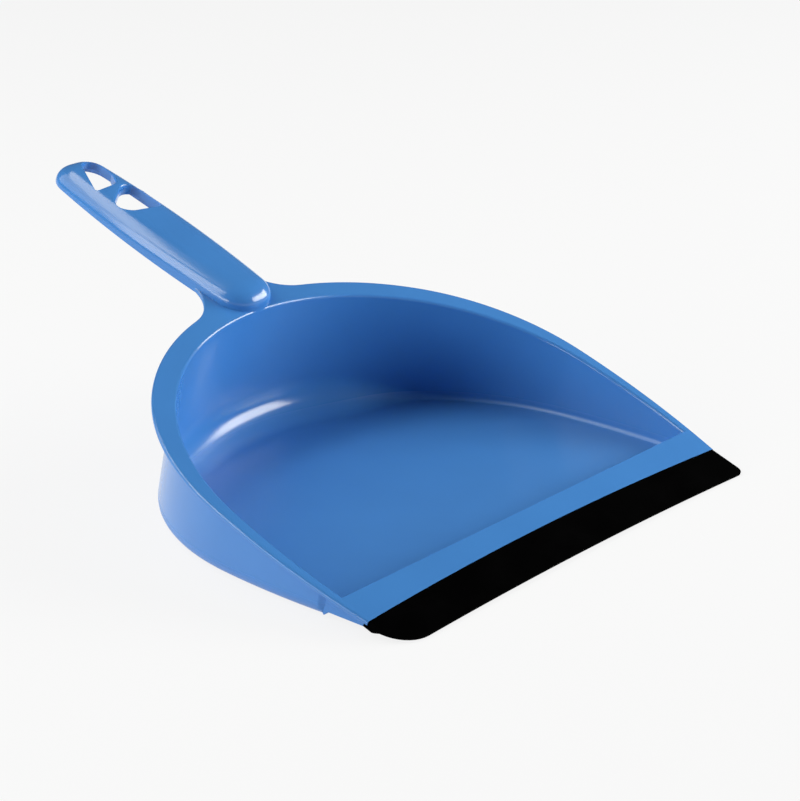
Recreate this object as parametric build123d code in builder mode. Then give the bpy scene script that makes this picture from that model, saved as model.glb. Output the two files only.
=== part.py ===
from build123d import *
from math import asin, atan, cos, degrees, radians, sin
import os

# The rim of the pan lies in one plane, low at the lip and high at the handle.
# Sizes along the rim are measured in that plane: across, and back from its middle.
rim_tilt = 18.8
rim_height = 24.6

# Outline of the flange: half its width at the front border, the waist that bulges beyond it,
# and the shoulder that curves in to the back
flange_front_half = 116.8
flange_waist_bulge = 4.6
flange_waist_at = 30.0
flange_shoulder_inset = 31.0
flange_shoulder_drop = 32.7
flange_back = 136.5
flange_thickness = 2.2
flange_edge_chamfer = 0.6

# Width of the flange at the same places, across and along, which leaves the mouth of the basin
flange_front_width = 4.2
flange_waist_width = (6.2, 8.0)
flange_shoulder_width = (7.4, 8.2)
flange_back_width = 11.5
mouth_edge_chamfer = 0.7

# Basin under the mouth, drawn straight down from the rim
wall = 2.2
draft = 4.0
floor_radius = 8.0
sole_chamfer = 4.4
ridge = 39.4
ramp_angle = 38.0

# Front strip, and the beaded tongue that carries the rubber
border = 51.2
border_bow = 3.8
tongue_length = 4.6
tongue_inset = 2.5
bead_radius = 0.4
bead_setback = 1.2

# Side skirts that close the ends of the hollow behind the lip
skirt_step = 1.9
skirt_thickness = 2.0
skirt_ground_gap = 3.2
skirt_start = 32.6
skirt_lip_gap = 0.6
skirt_edge_radius = 0.8

# Rubber lip
lip_end_inset = 1.6
lip_reach = 18.9
lip_upper_leg = 1.0
lip_lower_leg = 1.5
lip_flap = 5.0
lip_clip_nose = 3.0
lip_blade_root = 6.2
lip_blade_thickness = 2.0
lip_tip_thickness = 1.0
lip_near_corner = 10.5
lip_far_corner = 1.2
lip_edge_radius = 0.4
lip_gap = 0.12

# Handle
handle_length = 133.2
handle_middle = 65.0
handle_half = 17.1
handle_nose_half = 12.9
handle_tip_half = 13.4
handle_nose_radius = 9.0
handle_tip_radius = 11.8
handle_nose_setback = 0.4
handle_nose_rise = 7.3
handle_tip_rise = 4.9
handle_edge_radius = 5.4
handle_wall = 2.2
hollow_chamfer = 2.0
handle_root_radius = 24.5

# Hanging holes, each the hull of a few circles: across, forward of the tip, radius
upper_hole = [(3.8, 12.0, 5.2), (-8.2, 28.8, 1.2), (7.0, 20.4, 1.2), (0.3, 23.1, 6.0)]
lower_hole = [(-3.4, 45.6, 6.3), (5.7, 38.2, 6.0), (8.4, 50.8, 3.0)]
collar_wall = 1.8
collar_recess = 3.6

slope = radians(rim_tilt)
rim = Plane(origin=(0, 0, rim_height), x_dir=(1, 0, 0), z_dir=(0, -sin(slope), cos(slope)))
rim_side = Plane(origin=rim.origin, x_dir=rim.y_dir, z_dir=(1, 0, 0))
rim_up = Axis(rim.origin, rim.z_dir)
rim_back = Axis(rim.origin, rim.y_dir)
ground = Plane.XY
basin_depth = (rim_height + flange_back * sin(slope)) / cos(slope) + 2 * floor_radius

flange_waist = (flange_front_half + flange_waist_bulge, flange_waist_at)
flange_shoulder = (flange_front_half - flange_shoulder_inset, flange_back - flange_shoulder_drop)
mouth_back = flange_back - flange_back_width
mouth_front_half = flange_front_half - flange_front_width
strip_front = border + border_bow
bow_radius = (flange_front_half**2 + border_bow**2) / (2 * border_bow)
bow_axis = Axis(rim.from_local_coords((0, -border - bow_radius, 0)), rim.z_dir)

lip_half = flange_front_half - lip_end_inset
tongue_half = lip_half - tongue_inset
tongue_thickness = flange_thickness - lip_upper_leg
bead_at = border + tongue_length - bead_setback

handle_nose = mouth_back + handle_nose_setback
handle_tip = handle_nose + handle_length
handle_fall = atan((handle_nose_rise - handle_tip_rise) / handle_length)
handle_top = Plane(
    origin=rim.from_local_coords((0, handle_nose, handle_nose_rise)),
    x_dir=(1, 0, 0),
    z_dir=(0, -sin(slope - handle_fall), cos(slope - handle_fall)),
)


# A closed outline in the rim plane: three tangent arcs a side and a straight front
def rim_outline(back, shoulder, waist, front):
    with BuildSketch() as outline:
        with BuildLine():
            rear = TangentArc((0, back), shoulder, tangent=(1, 0))
            side = TangentArc(rear @ 1, waist, tangent=rear % 1)
            fore = TangentArc(side @ 1, front, tangent=side % 1)
            Line(fore @ 1, (0, front[1]))
            mirror(about=Plane.YZ)
        make_face()
    return outline.sketch


# Band across the front, between two arcs that follow the bowed border
def border_band(rear, front, half):
    with BuildSketch() as band:
        with Locations((0, -border - bow_radius)):
            Circle(bow_radius - rear)
            Circle(bow_radius - front, mode=Mode.SUBTRACT)
        with Locations((0, -border - (rear + front) / 2)):
            Rectangle(2 * half, front - rear + 4 * border_bow, mode=Mode.INTERSECT)
    return band.sketch


# Round bead along the top of the tongue, as long as the given half width to each side
def tongue_bead(radius, half):
    with BuildPart() as bead:
        with BuildSketch(rim_side):
            with Locations((-bead_at, -lip_upper_leg)):
                Circle(radius)
        revolve(axis=bow_axis, revolution_arc=degrees(asin(half / bow_radius)))
        mirror(about=Plane.YZ)
    return bead.part


# Plan of the handle from its nose at the origin, drawn in by the given inset
def handle_plan(inset):
    with BuildSketch() as plan:
        with BuildLine():
            front = Line((0, 0), (handle_nose_half, 0))
            side = ThreePointArc(front @ 1, (handle_half, handle_middle), (handle_tip_half, handle_length))
            Line(side @ 1, (0, handle_length))
            mirror(about=Plane.YZ)
        make_face()
        fillet(plan.vertices().sort_by(Axis.Y)[-2:], handle_tip_radius)
        fillet(plan.vertices().sort_by(Axis.Y)[:2], handle_nose_radius)
        if inset:
            offset(amount=-inset, kind=Kind.INTERSECTION, mode=Mode.REPLACE)
    return plan.sketch


# Bar of the handle under its sloping top; its hollow is the same bar drawn in on all faces
def handle_bar(inset, soften, amount):
    with BuildPart() as bar:
        with BuildSketch(handle_top.offset(-inset)):
            add(handle_plan(inset))
        extrude(amount=-flange_thickness - 2 * handle_nose_rise)
        top = bar.faces().sort_by(rim_up)[-1]
        soften(top.edges(), amount)
        split(bisect_by=rim.offset(-flange_thickness), keep=Keep.TOP)
    return bar.part


def hole_outline(circles, growth):
    with BuildSketch() as hole:
        for across, forward, radius in circles:
            with Locations((across, handle_tip - forward)):
                Circle(radius + growth)
        make_hull()
    return hole.sketch


# Drafted basin shape between the rim plane, a level floor and the front ramp
def basin_form(growth, floor_height, drop, soften, amount):
    with BuildPart() as form:
        with BuildSketch(rim):
            add(mouth)
            if growth:
                offset(amount=growth, kind=Kind.INTERSECTION, mode=Mode.REPLACE)
        extrude(amount=-basin_depth, taper=draft)
        split(bisect_by=basin_front, keep=Keep.TOP)
        split(bisect_by=ground.offset(floor_height), keep=Keep.TOP)
        level = form.faces().sort_by(Axis.Z)[0]
        soften(level.edges().sort_by(Axis.Y)[1:], amount)
        split(bisect_by=ramp.offset(-drop), keep=Keep.TOP)
    return form.part


flange = rim_outline(
    flange_back,
    flange_shoulder,
    flange_waist,
    (flange_front_half, -strip_front),
)
mouth = rim_outline(
    mouth_back,
    (flange_shoulder[0] - flange_shoulder_width[0], flange_shoulder[1] - flange_shoulder_width[1]),
    (flange_waist[0] - flange_waist_width[0], flange_waist[1] - flange_waist_width[1]),
    (mouth_front_half, -strip_front),
)
skirt_ray = IntersectingLine((0, -skirt_start), (1, 0), mouth.face().outer_wire())
skirt_half = (skirt_ray @ 1).X + wall - skirt_step
ramp = Plane(
    origin=rim.from_local_coords((0, -ridge, 0)),
    x_dir=(1, 0, 0),
    z_dir=(0, sin(radians(ramp_angle)), cos(radians(ramp_angle))),
)
basin_front = Plane(
    origin=rim.from_local_coords((0, -ridge - 2 * wall, 0)),
    x_dir=(1, 0, 0),
    z_dir=rim.y_dir,
)
basin_core = basin_form(0, wall, 0, fillet, floor_radius)
handle_form = handle_bar(0, fillet, handle_edge_radius)

# Walls round the hanging holes, kept inside the bar of the handle
with BuildPart() as collars:
    with BuildSketch(rim.offset(collar_recess - flange_thickness)):
        add(hole_outline(upper_hole, collar_wall))
        add(hole_outline(lower_hole, collar_wall))
    extrude(amount=2 * handle_nose_rise)
    add(handle_form, mode=Mode.INTERSECT)

# Basin shell, stepped in at the front corners so that the skirts carry on from it
with BuildPart() as shell:
    add(basin_form(wall, 0, wall, chamfer, sole_chamfer))
    step_length = strip_front - skirt_start
    with BuildSketch(rim):
        for side in (-1, 1):
            with Locations((side * 2 * skirt_half, -skirt_start - step_length / 2)):
                Rectangle(2 * skirt_half, step_length)
    extrude(amount=-rim_height, mode=Mode.SUBTRACT)
    step_edges = shell.edges().filter_by(
        lambda edge: abs(edge.center().X) > skirt_half + skirt_edge_radius / 4
        and abs(rim.to_local_coords(edge.center()).Y + skirt_start) < skirt_edge_radius / 4
    )
    fillet(step_edges.filter_by(GeomType.LINE, reverse=True), skirt_edge_radius)

# Side skirts, standing clear of the ground
with BuildPart() as skirts:
    skirt_front = strip_front - lip_flap - skirt_lip_gap
    skirt_rear = skirt_start - 2 * wall
    with BuildSketch(rim.offset(-flange_thickness / 2)):
        for side in (-1, 1):
            across = side * (skirt_half - skirt_thickness / 2)
            with Locations((across, -(skirt_front + skirt_rear) / 2)):
                Rectangle(skirt_thickness, skirt_front - skirt_rear)
    extrude(amount=-rim_height)
    split(bisect_by=ground.offset(skirt_ground_gap), keep=Keep.TOP)

with BuildPart() as pan:
    with BuildSketch(rim) as plate:
        add(flange)
        add(border_band(0, 2 * border_bow, flange_waist[0]), mode=Mode.SUBTRACT)
        with Locations((0, handle_nose)):
            add(handle_plan(0))
        roots = plate.vertices().filter_by_position(
            Axis.Y, flange_back - handle_root_radius, flange_back + handle_root_radius
        )
        fillet(roots.filter_by(lambda corner: abs(corner.X) < handle_half), handle_root_radius)
    extrude(amount=-flange_thickness)
    top_edges = pan.faces().sort_by(rim_up)[-1].edges().sort_by(rim_back)[1:]
    chamfer(top_edges, flange_edge_chamfer)
    add(shell.part)
    add(skirts.part)
    add(basin_core, mode=Mode.SUBTRACT)
    mouth_edges = pan.faces().sort_by(rim_up)[-1].inner_wires()[0].edges()
    chamfer(mouth_edges, mouth_edge_chamfer)
    add(handle_form)
    add(handle_bar(handle_wall, chamfer, hollow_chamfer), mode=Mode.SUBTRACT)
    add(collars.part)
    with BuildSketch(rim.offset(-flange_thickness)):
        add(hole_outline(upper_hole, 0))
        add(hole_outline(lower_hole, 0))
    extrude(amount=flange_thickness + 2 * handle_nose_rise, mode=Mode.SUBTRACT)
    with BuildSketch(rim.offset(-flange_thickness)):
        add(border_band(-lip_flap, tongue_length, tongue_half))
    extrude(amount=tongue_thickness)
    add(tongue_bead(bead_radius, tongue_half - bead_setback))
pan.part.label = "pan_moulding"

# Rubber lip: one section carried round the bowed border, with its ends and corners trimmed
lip_drop = flange_thickness + lip_lower_leg
with BuildPart() as lip:
    with BuildSketch(rim_side) as section:
        with BuildLine():
            Polyline(
                (-border - lip_gap, 0),
                (-border - lip_reach, 0),
                (-border - lip_reach, -lip_tip_thickness),
                (-border - lip_blade_root, -lip_blade_thickness),
                (-border - lip_clip_nose, -lip_drop),
                (-border + lip_flap, -lip_drop),
                (-border + lip_flap, -flange_thickness),
                (-border - lip_gap, -flange_thickness),
                close=True,
            )
        make_face()
        fillet(section.vertices().sort_by(Axis.X)[:2], lip_edge_radius)
    revolve(axis=bow_axis, revolution_arc=degrees(asin(flange_waist[0] / (bow_radius - lip_reach))))
    mirror(about=Plane.YZ)
    with BuildSketch(rim.offset(-rim_height)) as trim:
        add(border_band(-2 * lip_flap, lip_reach, lip_half))
        fillet(trim.vertices().sort_by(Axis.Y)[:2].sort_by(Axis.X)[0], lip_near_corner)
        fillet(trim.vertices().sort_by(Axis.X)[-2:].sort_by(Axis.Y)[0], lip_far_corner)
    extrude(amount=2 * rim_height, mode=Mode.INTERSECT)
    split(bisect_by=ground, keep=Keep.TOP)
    with BuildSketch(rim.offset(-flange_thickness)):
        add(border_band(-lip_flap, tongue_length + lip_gap, tongue_half + lip_gap))
    extrude(amount=tongue_thickness, mode=Mode.SUBTRACT)
    add(tongue_bead(bead_radius + lip_gap, tongue_half - bead_setback + lip_gap), mode=Mode.SUBTRACT)
lip.part.label = "rubber_lip"

os.makedirs("parts", exist_ok=True)
export_step(pan.part, "parts/pan_moulding.step")
export_step(lip.part, "parts/rubber_lip.step")
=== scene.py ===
import bpy
import bmesh
from math import asin, atan, atan2, ceil, cos, hypot, pi, radians, sin, sqrt, tan
from mathutils import Matrix, Vector
from mathutils.geometry import intersect_sphere_sphere_2d


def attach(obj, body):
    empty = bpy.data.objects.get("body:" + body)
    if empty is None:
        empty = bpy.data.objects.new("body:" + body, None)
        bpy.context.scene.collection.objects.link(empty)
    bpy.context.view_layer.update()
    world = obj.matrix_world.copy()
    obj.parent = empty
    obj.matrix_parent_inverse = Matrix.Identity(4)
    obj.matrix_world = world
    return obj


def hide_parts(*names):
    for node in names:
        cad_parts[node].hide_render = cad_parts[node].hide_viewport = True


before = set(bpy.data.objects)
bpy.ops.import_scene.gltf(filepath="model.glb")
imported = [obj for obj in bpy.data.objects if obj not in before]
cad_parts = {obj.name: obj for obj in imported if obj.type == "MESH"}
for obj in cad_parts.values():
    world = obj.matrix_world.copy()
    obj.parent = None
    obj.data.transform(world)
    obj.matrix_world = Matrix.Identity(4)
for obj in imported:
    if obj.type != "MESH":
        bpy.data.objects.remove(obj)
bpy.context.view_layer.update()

print("frame loaded")

# The rim lies in one sloping plane. Shapes are drawn on it in millimetres: across, back, up.
rim = {"tilt": radians(18.8), "height": 24.6, "spacing": 2.6, "arcStep": radians(9), "leastSteps": 3}
rimToWorld = (
    Matrix.Scale(0.001, 4)
    @ Matrix.Translation((0, 0, rim["height"]))
    @ Matrix.Rotation(rim["tilt"], 4, "X")
)
# Points nearer than these merge
merge = {"outline": 0.002, "cut": 0.0005, "spun": 0.001, "finished": 0.0008}
onPlane = 0.01  # how far a picked point may lie off its plane
skim = 0.02  # how far a cutting tool stands off the face it starts from


# A level plane at a height above the ground, as the tilted rim sees it
def levelPlane(height):
    drop = height - rim["height"]
    up = Vector((0, sin(rim["tilt"]), cos(rim["tilt"])))
    return up * drop, up


def start(bm, across, back):
    return bm.verts.new((across, back, 0))


# Carries a vertex round a centre, leaving a chain of edges
def swing(bm, vert, centre, turn):
    reach = hypot(vert.co.x - centre[0], vert.co.y - centre[1])
    byLength = ceil(abs(turn) * reach / rim["spacing"])
    byAngle = ceil(abs(turn) / rim["arcStep"])
    steps = max(rim["leastSteps"], byLength, byAngle)
    done = bmesh.ops.spin(
        bm, geom=[vert], cent=(centre[0], centre[1], 0), axis=(0, 0, 1),
        angle=turn, steps=steps, use_duplicate=False,
    )
    return [item for item in done["geom_last"] if isinstance(item, bmesh.types.BMVert)][0]


def runTo(bm, vert, across, back):
    done = bmesh.ops.extrude_vert_indiv(bm, verts=[vert])
    done["verts"][0].co = (across, back, 0)
    return done["verts"][0]


def faceUp(face):
    face.normal_update()
    if face.normal.z < 0:
        face.normal_flip()
    return face


# Fills a closed outline with one face that looks up
def fillOutline(bm):
    bmesh.ops.remove_doubles(bm, verts=bm.verts[:], dist=merge["outline"])
    return faceUp(bmesh.ops.contextual_create(bm, geom=bm.edges[:])["faces"][0])


# Mirrors a half outline, then fills it
def closeOutline(bm):
    bmesh.ops.mirror(bm, geom=bm.verts[:] + bm.edges[:], axis="X", merge_dist=merge["outline"])
    return fillOutline(bm)


# Draws a face in and lifts or sinks it
def insetTo(bm, face, thickness, depth):
    bmesh.ops.inset_region(
        bm, faces=[face], use_boundary=True, use_even_offset=True, thickness=thickness, depth=depth
    )


# Rounds the edge of a face outwards, in rings, along a quarter of an ellipse
def roundEdge(bm, face, across, rise, rings):
    for ring in range(rings):
        low = pi / 2 * ring / rings
        high = pi / 2 * (ring + 1) / rings
        insetTo(bm, face, across * (cos(low) - cos(high)), rise * (sin(high) - sin(low)))


# Sinks a face through a rounded lip, then on down a drafted wall
def sinkFace(bm, face, radius, rings, draft, depth):
    sweep = pi / 2 - draft
    for ring in range(rings):
        low = sweep * ring / rings
        high = sweep * (ring + 1) / rings
        insetTo(bm, face, radius * (sin(high) - sin(low)), -radius * (cos(low) - cos(high)))
    insetTo(bm, face, depth * tan(draft), -depth)


def capOpenEdges(bm):
    edges = [edge for edge in bm.edges if edge.is_boundary]
    return bmesh.ops.edgeloop_fill(bm, edges=edges)["faces"]


# Cuts below a plane and closes the cut
def trimBelow(bm, point, normal):
    bmesh.ops.bisect_plane(
        bm, geom=bm.verts[:] + bm.edges[:] + bm.faces[:], dist=merge["cut"],
        plane_co=point, plane_no=normal, clear_inner=True,
    )
    return capOpenEdges(bm)


def extrudeBy(bm, faces, vector):
    done = bmesh.ops.extrude_face_region(bm, geom=faces)
    verts = [item for item in done["geom"] if isinstance(item, bmesh.types.BMVert)]
    bmesh.ops.translate(bm, vec=vector, verts=verts)


def bevelEdges(bm, edges, width, segments):
    bmesh.ops.bevel(
        bm, geom=edges, offset=width, offset_type="WIDTH", affect="EDGES", segments=segments,
        profile=0.5, material=-1, clamp_overlap=False, loop_slide=True,
    )


# Makes an object of a closed bmesh
def tool(bm, name):
    bmesh.ops.recalc_face_normals(bm, faces=bm.faces[:])
    mesh = bpy.data.meshes.new(name)
    bm.to_mesh(mesh)
    bm.free()
    made = bpy.data.objects.new(name, mesh)
    bpy.context.scene.collection.objects.link(made)
    return made


# Makes a modifier's result the object's own mesh
def bake(target, change):
    graph = bpy.context.evaluated_depsgraph_get()
    result = bpy.data.meshes.new_from_object(target.evaluated_get(graph))
    target.modifiers.remove(change)
    target.data = result


# Joins, cuts or keeps what two solids share, and uses the second one up
def combine(target, other, how):
    change = target.modifiers.new(how, "BOOLEAN")
    change.operation = how
    change.solver = "EXACT"
    change.object = other
    bake(target, change)
    bpy.data.objects.remove(other)


# Rounds the edges of a finished form that the test picks out by their ends
def softenEdges(target, width, picked, segments=4):
    bm = bmesh.new()
    bm.from_mesh(target.data)
    edges = [edge for edge in bm.edges if picked(edge.verts[0].co, edge.verts[1].co)]
    print("edges rounded", len(edges))
    bevelEdges(bm, edges, width, segments)
    bm.to_mesh(target.data)
    bm.free()


# Flange and mouth, three tangent arcs a side
flange = {
    "back": 136.5, "shoulder": (85.8, 103.8), "waist": (121.4, 30.0), "front": (116.8, -55.0),
    "thickness": 2.2, "edgeRadius": 0.9, "underRadius": 0.8, "edgeRings": 4, "spare": 12.0,
}
mouth = {
    "back": 125.0, "shoulder": (78.4, 95.6), "waist": (115.2, 22.0), "front": (112.6, -55.0),
    "edgeRadius": 1.5, "edgeRings": 6,
}
basin = {
    "ground": 0.002, "wall": 2.2, "draft": radians(4.0), "depth": 92.0, "ramp": radians(38.0),
    "floorWidth": 24.0, "floorRings": 20, "floorEase": {"from": 46.0, "to": 92.0, "least": 0.12},
    "soleWidth": 9.0, "soleRings": 8, "longEdge": 60.0,
    "ridge": 39.4, "ridgeEdge": 0.9, "ridgeSlack": 0.1, "ridgeShortest": 1.0,
}
border = {"at": 51.2, "bow": 3.8, "ahead": 40.0, "half": 130.0, "tall": 6.0}
border["radius"] = (flange["front"][0] ** 2 + border["bow"] ** 2) / (2 * border["bow"])


# Centre, signed turn and radius of each arc from the back round to the front
def rimArcs(shape):
    point = Vector((0, shape["back"]))
    heading = Vector((1, 0))
    arcs = []
    for place in (shape["shoulder"], shape["waist"], shape["front"]):
        chord = Vector(place) - point
        side = Vector((heading.y, -heading.x))
        radius = chord.length_squared / (2 * chord.dot(side))
        turn = -2 * asin(chord.length / (2 * radius))
        arcs.append((point + side * radius, turn, radius))
        heading = Matrix.Rotation(turn, 2) @ heading
        point = Vector(place)
    return arcs


def mouthFace(bm, growth):
    vert = start(bm, 0, mouth["back"] + growth)
    for centre, turn, _ in rimArcs(mouth):
        vert = swing(bm, vert, centre, turn)
    runTo(bm, vert, 0, vert.co.y)
    return closeOutline(bm)


# Handle: its plan runs back from the nose
handle = {
    "nose": 125.4, "length": 133.2, "middle": 65.0, "half": 17.1, "noseHalf": 12.9, "tipHalf": 13.4,
    "noseRadius": 12.8, "tipRadius": 12.8, "noseRise": 9.6, "tipRise": 6.4,
    "edgeAcross": 12.3, "edgeRise": 8.0, "edgeRings": 18, "wall": 2.2, "rootRadius": 24.5, "tuck": 0.3,
    "spare": 12.0, "clear": 0.05, "through": 3.0,
}


# Circle through the nose corner, the middle and the tip corner
def handleSide():
    a = Vector((handle["noseHalf"], 0))
    b = Vector((handle["half"], handle["middle"]))
    c = Vector((handle["tipHalf"], handle["length"]))
    d = 2 * (a.x * (b.y - c.y) + b.x * (c.y - a.y) + c.x * (a.y - b.y))
    aa, bb, cc = a.length_squared, b.length_squared, c.length_squared
    x = (aa * (b.y - c.y) + bb * (c.y - a.y) + cc * (a.y - b.y)) / d
    y = (aa * (c.x - b.x) + bb * (a.x - c.x) + cc * (b.x - a.x)) / d
    return Vector((x, y)), hypot(a.x - x, a.y - y)


# Plan of the handle, drawn in by the inset
def handleFace(bm, inset):
    centre, radius = handleSide()
    noseY = handle["noseRadius"]
    tipY = handle["length"] - handle["tipRadius"]
    noseX = centre.x + sqrt((radius - handle["noseRadius"]) ** 2 - (noseY - centre.y) ** 2)
    tipX = centre.x + sqrt((radius - handle["tipRadius"]) ** 2 - (tipY - centre.y) ** 2)
    noseTurn = atan2(noseY - centre.y, noseX - centre.x)
    tipTurn = atan2(tipY - centre.y, tipX - centre.x)
    vert = start(bm, 0, inset)
    vert = runTo(bm, vert, noseX, inset)
    vert = swing(bm, vert, (noseX, noseY), pi / 2 + noseTurn)
    vert = swing(bm, vert, centre, tipTurn - noseTurn)
    vert = swing(bm, vert, (tipX, tipY), pi / 2 - tipTurn)
    runTo(bm, vert, 0, vert.co.y)
    return closeOutline(bm)


# From the handle's own plan to the rim: raised to the top at the nose, falling to the tip
handleFall = atan((handle["noseRise"] - handle["tipRise"]) / handle["length"])
handleToRim = (
    Matrix.Translation((0, handle["nose"], handle["noseRise"])) @ Matrix.Rotation(-handleFall, 4, "X")
)


# The handle as a solid bar with a rounded top, or the hollow in it
def handleBar(inset, edgeAcross, edgeRise, rings, bottom, name):
    bm = bmesh.new()
    face = handleFace(bm, inset)
    bmesh.ops.translate(bm, vec=(0, 0, -inset - edgeRise), verts=bm.verts[:])
    extrudeBy(bm, [face], (0, 0, -edgeRise - handle["noseRise"] - handle["spare"]))
    top = max(bm.faces, key=lambda item: item.calc_center_median().z)
    bmesh.ops.recalc_face_normals(bm, faces=bm.faces[:])
    roundEdge(bm, top, edgeAcross, edgeRise, rings)
    bmesh.ops.transform(bm, matrix=handleToRim, verts=bm.verts[:])
    trimBelow(bm, (0, 0, bottom), (0, 0, 1))
    return tool(bm, name)


# Plate of the flange, with the webs that run out along the handle
def flangePlate():
    bm = bmesh.new()
    arcs = rimArcs(flange)
    sideCentre, sideRadius = handleSide()
    sideCentre = sideCentre + Vector((0, handle["nose"]))
    sideRadius -= handle["tuck"]
    rearCentre, _, rearRadius = arcs[0]
    webRadius = handle["rootRadius"]
    webs = intersect_sphere_sphere_2d(
        rearCentre, rearRadius + webRadius, sideCentre, sideRadius + webRadius
    )
    web = max(webs, key=lambda item: item.x)
    onRear = web - rearCentre
    onSide = web - sideCentre
    ahead = -border["at"] - flange["spare"]
    vert = start(bm, 0, ahead)
    vert = runTo(bm, vert, flange["front"][0], ahead)
    vert = runTo(bm, vert, *flange["front"])
    for centre, turn, _ in reversed(arcs[1:]):
        vert = swing(bm, vert, centre, -turn)
    fromAngle = atan2(vert.co.y - rearCentre.y, vert.co.x - rearCentre.x)
    vert = swing(bm, vert, rearCentre, atan2(onRear.y, onRear.x) - fromAngle)
    fromAngle = atan2(-onRear.y, -onRear.x)
    toAngle = atan2(-onSide.y, -onSide.x)
    turn = (toAngle - fromAngle + pi) % (2 * pi) - pi
    vert = swing(bm, vert, web, turn)
    runTo(bm, vert, 0, vert.co.y)
    face = closeOutline(bm)
    low = -flange["thickness"] + flange["underRadius"]
    bmesh.ops.translate(bm, vec=(0, 0, low), verts=bm.verts[:])
    rise = flange["thickness"] - flange["underRadius"] - flange["edgeRadius"]
    extrudeBy(bm, [face], (0, 0, rise))
    bmesh.ops.recalc_face_normals(bm, faces=bm.faces[:])
    caps = [item for item in bm.faces if len(item.verts) > 4]
    caps.sort(key=lambda item: item.calc_center_median().z)
    roundEdge(bm, caps[-1], flange["edgeRadius"], flange["edgeRadius"], flange["edgeRings"])
    roundEdge(bm, caps[0], flange["underRadius"], flange["underRadius"], flange["edgeRings"])
    return tool(bm, "plate")


# Rounds the foot of the wall, broad at the back and narrower towards the sides
def easedRound(bm, edges, width, rings, ease, name):
    layer = bm.edges.layers.float["bevel_weight_edge"]
    for edge in edges:
        across = abs(edge.verts[0].co.x + edge.verts[1].co.x) / 2
        part = min(1, max(0, (across - ease["from"]) / (ease["to"] - ease["from"])))
        edge[layer] = 1 - (1 - ease["least"]) * part * part * (3 - 2 * part)
    made = tool(bm, name)
    soften = made.modifiers.new("floorRound", "BEVEL")
    soften.limit_method = "WEIGHT"
    soften.offset_type = "WIDTH"
    soften.width = width
    soften.segments = rings
    soften.use_clamp_overlap = False
    bake(made, soften)
    return made


# Outer or inner form of the basin: drafted from the mouth, cut along the ramp and level, then rounded
def basinForm(growth, top, edge, floor, floorWidth, floorRings, drop, ease, name):
    bm = bmesh.new()
    bm.edges.layers.float.new("bevel_weight_edge")
    face = mouthFace(bm, growth)
    bmesh.ops.translate(bm, vec=(0, 0, top), verts=bm.verts[:])
    if edge:
        sinkFace(bm, face, edge["edgeRadius"], edge["edgeRings"], basin["draft"], basin["depth"])
    else:
        insetTo(bm, face, basin["depth"] * tan(basin["draft"]), -basin["depth"])
    capOpenEdges(bm)
    bmesh.ops.recalc_face_normals(bm, faces=bm.faces[:])
    point, up = levelPlane(floor)
    steep = basin["ramp"] + rim["tilt"]
    normal = Vector((0, sin(steep), cos(steep)))
    trimBelow(bm, Vector((0, -basin["ridge"], 0)) - normal * drop, normal)
    level = trimBelow(bm, point, up)[0]
    edges = [item for item in level.edges if item.calc_length() < basin["longEdge"]]
    if ease:
        return easedRound(bm, edges, floorWidth, floorRings, ease, name)
    bevelEdges(bm, edges, floorWidth, floorRings)
    return tool(bm, name)


pan = flangePlate()
print("plate", len(pan.data.vertices))
shellTop = -flange["thickness"] / 2
shell = basinForm(
    basin["wall"] + shellTop * tan(basin["draft"]), shellTop, None, basin["ground"],
    basin["soleWidth"], basin["soleRings"], basin["wall"], None, "shell",
)
print("shell", len(shell.data.vertices))
core = basinForm(
    mouth["edgeRadius"], skim, mouth, basin["wall"], basin["floorWidth"], basin["floorRings"], 0,
    basin["floorEase"], "core",
)
print("core", len(core.data.vertices))
bar = handleBar(
    0, handle["edgeAcross"], handle["edgeRise"], handle["edgeRings"],
    -flange["thickness"] + handle["clear"], "bar",
)
print("bar", len(bar.data.vertices))

# Hanging holes: hulls of a few circles, across and forward of the tip, with their radii
holes = {
    "upper": ((3.8, 12.0, 5.2), (-8.2, 28.8, 1.2), (7.0, 20.4, 1.2), (0.3, 23.1, 6.0)),
    "lower": ((-3.4, 45.6, 6.3), (5.7, 38.2, 6.0), (8.4, 50.8, 3.0)),
    "edgeRadius": 1.5, "edgeRings": 5, "collar": 1.8, "collarTop": 2.6, "collarBottom": 1.4,
    "segments": 48, "straight": radians(0.5), "draft": radians(0.5), "blank": 1.0, "depth": 20.0,
}


# One flat face round the circles, on the handle's top plane
def holeFace(bm, circles, growth):
    for across, forward, radius in circles:
        place = Matrix.Translation((across, handle["length"] - forward, 0))
        bmesh.ops.create_cone(
            bm, cap_ends=False, segments=holes["segments"], radius1=radius + growth,
            radius2=radius + growth, depth=holes["blank"], matrix=place,
        )
    bmesh.ops.delete(bm, geom=bm.edges[:], context="EDGES_FACES")
    hull = bmesh.ops.convex_hull(bm, input=bm.verts[:], use_existing_faces=False)
    inside = [item for item in hull["geom_interior"] if isinstance(item, bmesh.types.BMVert)]
    bmesh.ops.delete(bm, geom=inside, context="VERTS")
    lower = [item for item in bm.verts if item.co.z < 0]
    bmesh.ops.delete(bm, geom=lower, context="VERTS")
    bmesh.ops.dissolve_limit(bm, angle_limit=holes["straight"], verts=bm.verts[:], edges=bm.edges[:])
    bmesh.ops.translate(bm, vec=(0, 0, -holes["blank"] / 2), verts=bm.verts[:])
    return faceUp(bm.faces[:][0])


def holeTool(circles):
    bm = bmesh.new()
    face = holeFace(bm, circles, holes["edgeRadius"])
    bmesh.ops.translate(bm, vec=(0, 0, skim), verts=bm.verts[:])
    sinkFace(bm, face, holes["edgeRadius"], holes["edgeRings"], holes["draft"], holes["depth"])
    capOpenEdges(bm)
    bmesh.ops.transform(bm, matrix=handleToRim, verts=bm.verts[:])
    return tool(bm, "hole")


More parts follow.
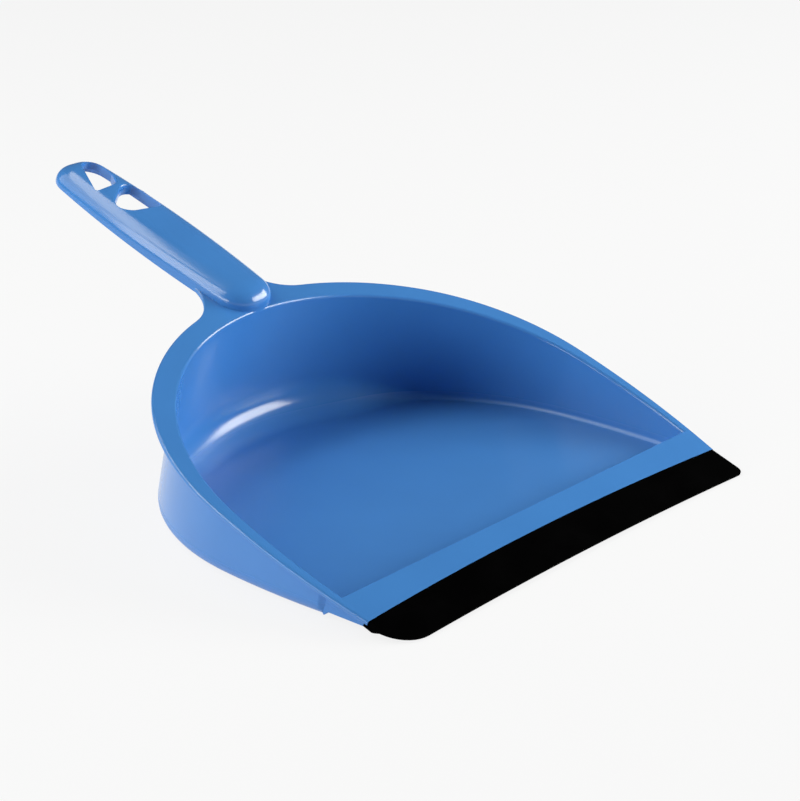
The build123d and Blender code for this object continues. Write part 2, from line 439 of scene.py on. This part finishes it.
# Wall that runs down round a hole
def collarTool(circles):
    bm = bmesh.new()
    face = holeFace(bm, circles, holes["collar"])
    bmesh.ops.translate(bm, vec=(0, 0, -holes["collarTop"]), verts=bm.verts[:])
    extrudeBy(bm, [face], (0, 0, -holes["depth"]))
    bmesh.ops.transform(bm, matrix=handleToRim, verts=bm.verts[:])
    trimBelow(bm, (0, 0, holes["collarBottom"]), (0, 0, 1))
    return tool(bm, "collar")


def boxBetween(low, high):
    bm = bmesh.new()
    size = [b - a for a, b in zip(low, high)]
    middle = [(a + b) / 2 for a, b in zip(low, high)]
    place = Matrix.Translation(middle) @ Matrix.Diagonal(size + [1])
    bmesh.ops.create_cube(bm, size=1, matrix=place)
    return bm


# Half outline between two arcs that follow the bowed border, from the middle outwards
def bandFace(bm, rear, front, half):
    centre = (0, -border["at"] - border["radius"])
    outer = border["radius"] - rear
    inner = border["radius"] - front
    vert = start(bm, 0, centre[1] + outer)
    vert = swing(bm, vert, centre, -asin(half / outer))
    vert = runTo(bm, vert, half, centre[1] + sqrt(inner ** 2 - half ** 2))
    swing(bm, vert, centre, asin(half / inner))
    return closeOutline(bm)


def bandTool(rear, front, half, low, high, name):
    bm = bmesh.new()
    face = bandFace(bm, rear, front, half)
    bmesh.ops.translate(bm, vec=(0, 0, low), verts=bm.verts[:])
    extrudeBy(bm, [face], (0, 0, high - low))
    return tool(bm, name)


# Side skirts behind the lip, a sloping step in from the wall
skirt = {
    "half": 115.37, "thickness": 2.0, "start": 32.6, "rear": 28.2, "front": 52.8, "ground": 3.2,
    "edge": 1.2, "slope": radians(58), "sunk": 0.03, "leastStep": 0.5, "shortest": 1.0,
    "cutHalf": 140.0, "cutFront": 70.0, "cutBelow": 40.0, "cutAbove": 5.0,
}
# Tongue of the pan that the lip is pushed on
tongue = {"length": 4.6, "half": 112.7, "under": 5.0, "top": -1.0, "bottom": -2.15}

for side in (-1, 1):
    near, far = sorted((side * skirt["half"], side * skirt["cutHalf"]))
    cut = boxBetween(
        (near, -skirt["cutFront"], -skirt["cutBelow"]), (far, -skirt["start"], skirt["cutAbove"])
    )
    for vert in cut.verts:
        if vert.co.y > -skirt["front"]:
            vert.co.y += (abs(vert.co.x) - skirt["half"]) * tan(skirt["slope"])
    combine(shell, tool(cut, "step"), "DIFFERENCE")
    outer = side * (skirt["half"] - skirt["sunk"])
    near, far = sorted((outer, outer - side * skirt["thickness"]))
    plate = boxBetween(
        (near, -skirt["front"], -skirt["cutBelow"]), (far, -skirt["rear"], -flange["thickness"] / 2)
    )
    trimBelow(plate, *levelPlane(skirt["ground"]))
    combine(shell, tool(plate, "skirt"), "UNION")
print("skirts", len(shell.data.vertices))


def onStep(point):
    out = abs(point.x) - skirt["half"]
    off = abs(point.y + skirt["start"] - out * tan(skirt["slope"]))
    return out > skirt["leastStep"] and off < onPlane


def onRidge(point):
    return abs(point.y + basin["ridge"]) < basin["ridgeSlack"] and abs(point.z) < onPlane


softenEdges(
    shell, skirt["edge"],
    lambda a, b: onStep(a) and onStep(b) and abs(a.z - b.z) > skirt["shortest"],
)

front = bandTool(0, border["ahead"], border["half"], -border["tall"], border["tall"], "front")
combine(pan, front, "DIFFERENCE")
combine(pan, shell, "UNION")
combine(pan, core, "DIFFERENCE")
softenEdges(
    pan, basin["ridgeEdge"],
    lambda a, b: onRidge(a) and onRidge(b) and abs(a.x - b.x) > basin["ridgeShortest"],
)
print("basin", len(pan.data.vertices))
combine(pan, bar, "UNION")
hollow = handleBar(
    handle["wall"], handle["edgeAcross"] - handle["wall"], handle["edgeRise"] - handle["wall"] / 2,
    handle["edgeRings"], -flange["thickness"] - handle["through"], "hollow",
)
combine(pan, hollow, "DIFFERENCE")
for name in ("upper", "lower"):
    combine(pan, collarTool(holes[name]), "UNION")
    combine(pan, holeTool(holes[name]), "DIFFERENCE")
grip = bandTool(
    -tongue["under"], tongue["length"], tongue["half"], tongue["bottom"], tongue["top"], "tongue"
)
combine(pan, grip, "UNION")
print("pan", len(pan.data.vertices))

# Rubber lip: one section spun about the axis of the bowed border, then trimmed to its plan
lip = {
    "gap": 0.12, "reach": 18.78, "flap": 5.0, "nose": 3.0, "root": 6.2, "thickness": 2.0, "tip": 1.0,
    "drop": 3.7, "left": 116.4, "right": 115.8, "leftCorner": 16.0, "rightCorner": 3.6,
    "middle": 71.3, "frontBow": 2.4, "wing": 53.2, "flapHalf": 113.0, "slotBack": 0.5,
    "spare": 3.0, "beyond": 8.0, "behind": 20.0, "tall": 20.0, "steps": 96,
}


def lipBlank():
    bm = bmesh.new()
    at = -border["at"]
    slope = (lip["thickness"] - lip["tip"]) / (lip["reach"] - lip["root"])
    points = (
        (at - lip["gap"], 0), (at - lip["reach"] - lip["spare"], 0),
        (at - lip["reach"] - lip["spare"], -lip["tip"] + slope * lip["spare"]),
        (at - lip["root"], -lip["thickness"]), (at - lip["nose"], -lip["drop"]),
        (at + lip["flap"], -lip["drop"]), (at + lip["flap"], -flange["thickness"]),
        (at - lip["gap"], -flange["thickness"]),
    )
    face = bm.faces.new([bm.verts.new((0, back, up)) for back, up in points])
    centre = (0, at - border["radius"], 0)
    sweep = asin((lip["left"] + lip["beyond"]) / (border["radius"] - lip["reach"] - lip["spare"]))
    bmesh.ops.rotate(bm, cent=centre, matrix=Matrix.Rotation(sweep, 3, "Z"), verts=bm.verts[:])
    bmesh.ops.spin(
        bm, geom=[face] + face.edges[:] + face.verts[:], cent=centre, axis=(0, 0, 1),
        angle=-2 * sweep, steps=lip["steps"], use_duplicate=False,
    )
    bmesh.ops.remove_doubles(bm, verts=bm.verts[:], dist=merge["spun"])
    return tool(bm, "lipBlank")


# Plan of the lip: a bowed front edge, a large corner at the left and a small one at the right.
# Behind its wings it narrows to the flap that lies under the strip.
def lipTrim():
    bm = bmesh.new()
    front = (lip["left"] ** 2 + lip["frontBow"] ** 2) / (2 * lip["frontBow"])
    centre = Vector((0, -lip["middle"] - front))
    ends = []
    for across, corner in (
        (lip["leftCorner"] - lip["left"], lip["leftCorner"]),
        (lip["right"] - lip["rightCorner"], lip["rightCorner"]),
    ):
        ends.append(Vector((across, centre.y + sqrt((front + corner) ** 2 - across ** 2))))
    leftAt, rightAt = ends
    rear = -border["at"] + lip["behind"]
    vert = start(bm, -lip["flapHalf"], rear)
    vert = runTo(bm, vert, -lip["flapHalf"], -lip["wing"])
    vert = runTo(bm, vert, -lip["left"], -lip["wing"])
    vert = runTo(bm, vert, -lip["left"], leftAt.y)
    leftTurn = atan2(centre.y - leftAt.y, centre.x - leftAt.x)
    vert = swing(bm, vert, leftAt, leftTurn + pi)
    rightTurn = atan2(centre.y - rightAt.y, centre.x - rightAt.x)
    vert = swing(bm, vert, centre, rightTurn - leftTurn)
    vert = swing(bm, vert, rightAt, -rightTurn)
    vert = runTo(bm, vert, lip["right"], -lip["wing"])
    vert = runTo(bm, vert, lip["flapHalf"], -lip["wing"])
    vert = runTo(bm, vert, lip["flapHalf"], rear)
    vert = runTo(bm, vert, -lip["flapHalf"], rear)
    face = fillOutline(bm)
    bmesh.ops.translate(bm, vec=(0, 0, -lip["tall"]), verts=bm.verts[:])
    extrudeBy(bm, [face], (0, 0, 2 * lip["tall"]))
    return tool(bm, "lipTrim")


lipPiece = lipBlank()
combine(lipPiece, lipTrim(), "INTERSECT")
slot = bandTool(
    -lip["slotBack"], tongue["length"] + lip["gap"], tongue["half"] + lip["gap"],
    -flange["thickness"] + skim, tongue["top"] + skim, "slot",
)
combine(lipPiece, slot, "DIFFERENCE")
bm = bmesh.new()
bm.from_mesh(lipPiece.data)
trimBelow(bm, *levelPlane(basin["ground"]))
bm.to_mesh(lipPiece.data)
bm.free()
print("lip", len(lipPiece.data.vertices))

shading = {"crease": radians(32), "weight": 60}


# Puts a finished mesh in its place, smooth but crisp where its faces meet at an angle
def finishPiece(piece, name):
    mesh = piece.data
    bm = bmesh.new()
    bm.from_mesh(mesh)
    bmesh.ops.remove_doubles(bm, verts=bm.verts[:], dist=merge["finished"])
    bmesh.ops.dissolve_degenerate(bm, edges=bm.edges[:], dist=merge["finished"])
    for face in bm.faces:
        face.smooth = True
    for edge in bm.edges:
        edge.smooth = edge.calc_face_angle(0) < shading["crease"]
    bmesh.ops.transform(bm, matrix=rimToWorld, verts=bm.verts[:])
    bm.to_mesh(mesh)
    bm.free()
    piece.name = name
    mesh.name = name
    weighted = piece.modifiers.new("evenShading", "WEIGHTED_NORMAL")
    weighted.keep_sharp = True
    weighted.weight = shading["weight"]
    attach(piece, "root")


finishPiece(pan, "panBody")
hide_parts("pan_moulding")
finishPiece(lipPiece, "frontLip")
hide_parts("rubber_lip")
print("pieces placed")


# Makes a node with its settings
def node(tree, kind, **settings):
    made = tree.nodes.new(kind)
    for key, value in settings.items():
        setattr(made, key, value)
    return made


def newMaterial(name):
    made = bpy.data.materials.new(name)
    made.use_nodes = True
    tree = made.node_tree
    tree.nodes.clear()
    output = node(tree, "ShaderNodeOutputMaterial")
    shader = node(tree, "ShaderNodeBsdfPrincipled")
    tree.links.new(shader.outputs[0], output.inputs[0])
    return made, tree, shader


# Satin is extra roughness on the floor of the basin, gone above the given height in metres
bluePlastic = {
    "colour": (0.049, 0.204, 0.570), "paler": (0.052, 0.216, 0.598), "roughness": (0.15, 0.19), "ior": 1.52,
    "satin": {"from": 0.0045, "to": 0.0085, "extra": 0.22}, "cloud": 22, "grain": 260, "bump": 0.012,
}
blackRubber = {
    "colour": (0.0003, 0.0003, 0.0004), "paler": (0.0008, 0.0008, 0.0010), "roughness": (0.55, 0.68),
    "specular": 0.005, "cloud": 60, "grain": 1600, "bump": 0.15,
}
mottle = {"cloudDetail": 3, "grainDetail": 4, "darkest": 0.35, "palest": 0.70, "bumpDepth": 0.0002}


# Cloudy colour and gloss, with a fine grain
def mottledMaterial(name, finish):
    made, tree, shader = newMaterial(name)
    place = node(tree, "ShaderNodeTexCoord")
    cloud = node(tree, "ShaderNodeTexNoise")
    cloud.inputs["Scale"].default_value = finish["cloud"]
    cloud.inputs["Detail"].default_value = mottle["cloudDetail"]
    tree.links.new(place.outputs["Object"], cloud.inputs["Vector"])
    tint = node(tree, "ShaderNodeValToRGB")
    tint.color_ramp.elements[0].position = mottle["darkest"]
    tint.color_ramp.elements[0].color = (*finish["colour"], 1)
    tint.color_ramp.elements[1].position = mottle["palest"]
    tint.color_ramp.elements[1].color = (*finish["paler"], 1)
    tree.links.new(cloud.outputs["Fac"], tint.inputs["Fac"])
    tree.links.new(tint.outputs["Color"], shader.inputs["Base Color"])
    grain = node(tree, "ShaderNodeTexNoise")
    grain.inputs["Scale"].default_value = finish["grain"]
    grain.inputs["Detail"].default_value = mottle["grainDetail"]
    tree.links.new(place.outputs["Object"], grain.inputs["Vector"])
    gloss = node(tree, "ShaderNodeMapRange")
    gloss.inputs["To Min"].default_value = finish["roughness"][0]
    gloss.inputs["To Max"].default_value = finish["roughness"][1]
    tree.links.new(cloud.outputs["Fac"], gloss.inputs["Value"])
    if "satin" in finish:
        height = node(tree, "ShaderNodeSeparateXYZ")
        tree.links.new(place.outputs["Object"], height.inputs[0])
        low = node(tree, "ShaderNodeMapRange")
        low.inputs["From Min"].default_value = finish["satin"]["from"]
        low.inputs["From Max"].default_value = finish["satin"]["to"]
        low.inputs["To Min"].default_value = finish["satin"]["extra"]
        low.inputs["To Max"].default_value = 0
        tree.links.new(height.outputs["Z"], low.inputs["Value"])
        both = node(tree, "ShaderNodeMath", operation="ADD")
        tree.links.new(gloss.outputs["Result"], both.inputs[0])
        tree.links.new(low.outputs["Result"], both.inputs[1])
        tree.links.new(both.outputs[0], shader.inputs["Roughness"])
    else:
        tree.links.new(gloss.outputs["Result"], shader.inputs["Roughness"])
    bump = node(tree, "ShaderNodeBump")
    bump.inputs["Strength"].default_value = finish["bump"]
    bump.inputs["Distance"].default_value = mottle["bumpDepth"]
    tree.links.new(grain.outputs["Fac"], bump.inputs["Height"])
    tree.links.new(bump.outputs["Normal"], shader.inputs["Normal"])
    return made, shader


plasticMaterial, plasticShader = mottledMaterial("bluePlastic", bluePlastic)
plasticShader.inputs["IOR"].default_value = bluePlastic["ior"]
rubberMaterial, rubberShader = mottledMaterial("blackRubber", blackRubber)
rubberShader.inputs["Specular IOR Level"].default_value = blackRubber["specular"]
for piece, material in ((pan, plasticMaterial), (lipPiece, rubberMaterial)):
    piece.data.materials.clear()
    piece.data.materials.append(material)
for name, material in (("pan_moulding", plasticMaterial), ("rubber_lip", rubberMaterial)):
    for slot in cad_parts[name].material_slots:
        slot.material = material
print("materials")

studio = {
    "floor": (0.86, 0.90, 0.98), "floorHalf": 12, "floorGap": 0.0002,
    "background": 0.945, "keep": 0.90, "gleam": 0.04, "world": 0.055,
    "lamp": (1.0, 0.96, 0.86), "lampAim": (0, 0.06, 0.04),
    "lens": 112.36, "sensor": 36, "cameraAt": (-0.7620, -0.6351, 0.4378),
    "right": (0.6598, -0.7515, 0.0), "up": (0.2730, 0.2397, 0.9317), "back": (-0.7001, -0.6147, 0.3633),
}


# One for the camera and through clear things, and the given share for gloss
def seesBackground(tree, glossShare):
    seen = node(tree, "ShaderNodeLightPath")
    gloss = node(tree, "ShaderNodeMath", operation="MULTIPLY")
    gloss.inputs[1].default_value = glossShare
    tree.links.new(seen.outputs["Is Glossy Ray"], gloss.inputs[0])
    direct = node(tree, "ShaderNodeMath", operation="MAXIMUM")
    tree.links.new(seen.outputs["Is Camera Ray"], direct.inputs[0])
    tree.links.new(seen.outputs["Is Transmission Ray"], direct.inputs[1])
    either = node(tree, "ShaderNodeMath", operation="MAXIMUM")
    tree.links.new(direct.outputs[0], either.inputs[0])
    tree.links.new(gloss.outputs[0], either.inputs[1])
    return either.outputs[0]


# Pale floor that still takes the shadow
bm = bmesh.new()
bmesh.ops.create_grid(bm, x_segments=1, y_segments=1, size=studio["floorHalf"])
bmesh.ops.translate(bm, vec=(0, 0, -studio["floorGap"]), verts=bm.verts[:])
floorMesh = bpy.data.meshes.new("studioFloor")
bm.to_mesh(floorMesh)
bm.free()
floor = bpy.data.objects.new("studioFloor", floorMesh)
bpy.context.scene.collection.objects.link(floor)
floorMaterial = bpy.data.materials.new("studioFloor")
floorMaterial.use_nodes = True
tree = floorMaterial.node_tree
tree.nodes.clear()
output = node(tree, "ShaderNodeOutputMaterial")
matt = node(tree, "ShaderNodeBsdfDiffuse")
matt.inputs["Color"].default_value = (*studio["floor"], 1)
glow = node(tree, "ShaderNodeEmission")
glow.inputs["Color"].default_value = (studio["background"],) * 3 + (1,)
share = node(tree, "ShaderNodeMath", operation="MULTIPLY")
share.inputs[1].default_value = studio["keep"]
blendIn = node(tree, "ShaderNodeMixShader")
tree.links.new(seesBackground(tree, 1), share.inputs[0])
tree.links.new(share.outputs[0], blendIn.inputs[0])
tree.links.new(matt.outputs[0], blendIn.inputs[1])
tree.links.new(glow.outputs[0], blendIn.inputs[2])
# Clear from below, so that the underside can be seen
side = node(tree, "ShaderNodeNewGeometry")
clear = node(tree, "ShaderNodeBsdfTransparent")
oneSided = node(tree, "ShaderNodeMixShader")
tree.links.new(side.outputs["Backfacing"], oneSided.inputs[0])
tree.links.new(blendIn.outputs[0], oneSided.inputs[1])
tree.links.new(clear.outputs[0], oneSided.inputs[2])
tree.links.new(oneSided.outputs[0], output.inputs[0])
floorMesh.materials.append(floorMaterial)

world = bpy.data.worlds.new("studio")
bpy.context.scene.world = world
world.use_nodes = True
tree = world.node_tree
tree.nodes.clear()
output = node(tree, "ShaderNodeOutputWorld")
soft = node(tree, "ShaderNodeBackground")
soft.inputs["Strength"].default_value = studio["world"]
pale = node(tree, "ShaderNodeBackground")
pale.inputs["Strength"].default_value = studio["background"]
blendIn = node(tree, "ShaderNodeMixShader")
# The blue tops mirror a dim room, so gloss sees little of the pale world
tree.links.new(seesBackground(tree, studio["gleam"]), blendIn.inputs[0])
tree.links.new(soft.outputs[0], blendIn.inputs[1])
tree.links.new(pale.outputs[0], blendIn.inputs[2])
tree.links.new(blendIn.outputs[0], output.inputs[0])


def softbox(name, at, size, power):
    light = bpy.data.lights.new(name, "AREA")
    light.shape = "RECTANGLE"
    light.size, light.size_y = size
    light.energy = power
    light.color = studio["lamp"]
    lamp = bpy.data.objects.new(name, light)
    lamp.location = at
    towards = Vector(studio["lampAim"]) - Vector(at)
    lamp.rotation_euler = towards.to_track_quat("-Z", "Y").to_euler()
    bpy.context.scene.collection.objects.link(lamp)


# Two boxes behind at the left, one in front at the right, one high behind and one low at the left
softbox("backBox", at=(-0.57, 1.13, 0.92), size=(0.9, 1.0), power=6)
softbox("sideBox", at=(-1.06, 0.67, 0.9), size=(0.45, 1.1), power=9.5)
softbox("frontBox", at=(1.09, -0.86, 0.5), size=(1.45, 0.64), power=36)
softbox("highBox", at=(-0.16, 0.72, 1.38), size=(0.95, 0.38), power=6)
softbox("leftBox", at=(-1.46, 0.32, 0.25), size=(0.9, 0.35), power=7.5)

cameraData = bpy.data.cameras.new("camera")
cameraData.lens = studio["lens"]
cameraData.sensor_width = studio["sensor"]
camera = bpy.data.objects.new("camera", cameraData)
bpy.context.scene.collection.objects.link(camera)
axes = Matrix((studio["right"], studio["up"], studio["back"])).transposed()
camera.matrix_world = Matrix.Translation(studio["cameraAt"]) @ axes.to_4x4()
bpy.context.scene.camera = camera
bpy.context.scene.view_settings.view_transform = "Standard"
print("studio")
